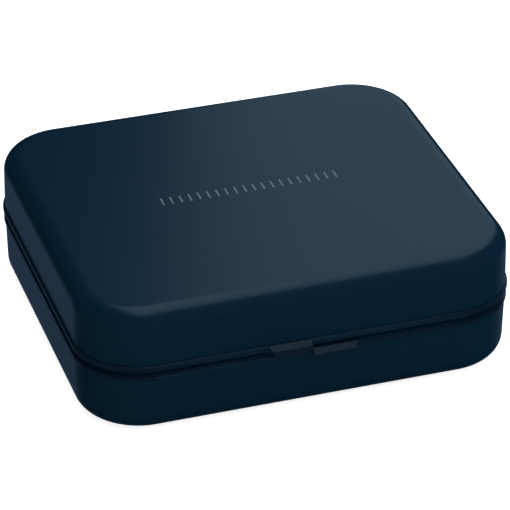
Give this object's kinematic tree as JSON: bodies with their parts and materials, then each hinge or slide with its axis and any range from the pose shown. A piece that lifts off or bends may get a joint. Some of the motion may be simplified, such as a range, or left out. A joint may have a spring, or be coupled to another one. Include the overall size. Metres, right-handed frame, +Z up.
{
  "type": "wireless earbuds charging case",
  "caption": "Flat rounded-square clamshell charging case in navy metal, opened by offset finger tabs, with earbud wells, rear hinge and charging port.",
  "frame": {"origin": "centre of the plane the case rests on, under the middle of its outline", "axes": "+X to the right end, +Y to the hinge and charging port, -Y to the finger tabs, +Z up through the lid"},
  "size_m": [0.0806, 0.075, 0.0246],
  "materials": {
    "shell_navy": "dark navy anodised aluminium, fine bead-blasted satin",
    "trim_frame": "slightly greyer navy satin bead and finger tabs",
    "gasket_rubber": "matte black",
    "tray_plastic": "fine-textured charcoal",
    "liner_flock": "soft flocked charcoal",
    "pad_foam": "soft closed-cell foam",
    "foot_plastic": "matte, lets the charging field through",
    "bezel_black": "semi-gloss",
    "button_plastic": "satin",
    "port_steel": "satin stainless steel",
    "pin_steel": "polished steel wire and rod",
    "screw_steel": "zinc plated",
    "contact_gold": "gold plated",
    "magnet_nickel": "nickel plated",
    "coil_copper": "enamelled copper winding",
    "ferrite": "matte grey sheet",
    "battery_pouch": "laminated foil pouch",
    "tape_amber": "polyimide",
    "wire_sleeve": "matte sleeve",
    "connector_white": "off-white",
    "board_green": "solder mask",
    "chip_black": "moulded black",
    "lens_clear": "frosted clear"
  },
  "bodies": {
    "base": {"base_shell": "shell_navy", "base_frame": "trim_frame", "rim_gasket": "gasket_rubber", "tray": "tray_plastic", "foot_panel": "foot_plastic", "charging_coil": "coil_copper", "ferrite_sheet": "ferrite", "battery": "battery_pouch", "battery_tape": "tape_amber", "battery_lead": "wire_sleeve", "battery_connector": "connector_white", "main_board": "board_green", "usb_shell": "port_steel", "usb_tongue": "chip_black", "usb_bezel": "bezel_black", "charge_ic": "chip_black", "controller_ic": "chip_black", "hall_sensor": "chip_black", "status_led": "lens_clear", "light_pipe": "lens_clear", "tact_switch": "port_steel", "contact_block_left": "chip_black", "contact_block_right": "chip_black", "contact_flex_left": "tape_amber", "contact_flex_right": "tape_amber", "base_magnet_left": "magnet_nickel", "base_magnet_right": "magnet_nickel", "bud_magnet_left": "magnet_nickel", "bud_magnet_right": "magnet_nickel", "board_screw_1": "screw_steel", "board_screw_2": "screw_steel", "board_screw_3": "screw_steel", "hinge_pin": "pin_steel", "hinge_spring": "pin_steel"},
    "lid": {"lid_shell": "shell_navy", "lid_frame": "trim_frame", "lid_liner": "liner_flock", "lid_pad_left": "pad_foam", "lid_pad_right": "pad_foam", "lid_magnet_left": "magnet_nickel", "lid_magnet_right": "magnet_nickel", "lid_sensor_magnet": "magnet_nickel"},
    "button": {"pairing_button": "button_plastic"},
    "pin_left_front": {"contact_pin_left_front": "contact_gold"},
    "pin_left_rear": {"contact_pin_left_rear": "contact_gold"},
    "pin_right_front": {"contact_pin_right_front": "contact_gold"},
    "pin_right_rear": {"contact_pin_right_rear": "contact_gold"}
  },
  "joints": [
    {"name": "lid_hinge", "type": "hinge", "parent": "base", "child": "lid", "pos_m": [0, 0.0365, 0.01227], "axis": [-1, 0, 0], "range_deg": [0, 105], "deforming": ["hinge_spring"]},
    {"name": "button_press", "type": "slide", "parent": "base", "child": "button", "axis": [0, 0, -1], "range_m": [0, 0.0004]},
    {"name": "pin_left_front_travel", "type": "slide", "parent": "base", "child": "pin_left_front", "axis": [0, 0, -1], "range_m": [0, 0.0006]},
    {"name": "pin_left_rear_travel", "type": "slide", "parent": "base", "child": "pin_left_rear", "axis": [0, 0, -1], "range_m": [0, 0.0006]},
    {"name": "pin_right_front_travel", "type": "slide", "parent": "base", "child": "pin_right_front", "axis": [0, 0, -1], "range_m": [0, 0.0006]},
    {"name": "pin_right_rear_travel", "type": "slide", "parent": "base", "child": "pin_right_rear", "axis": [0, 0, -1], "range_m": [0, 0.0006]}
  ]
}
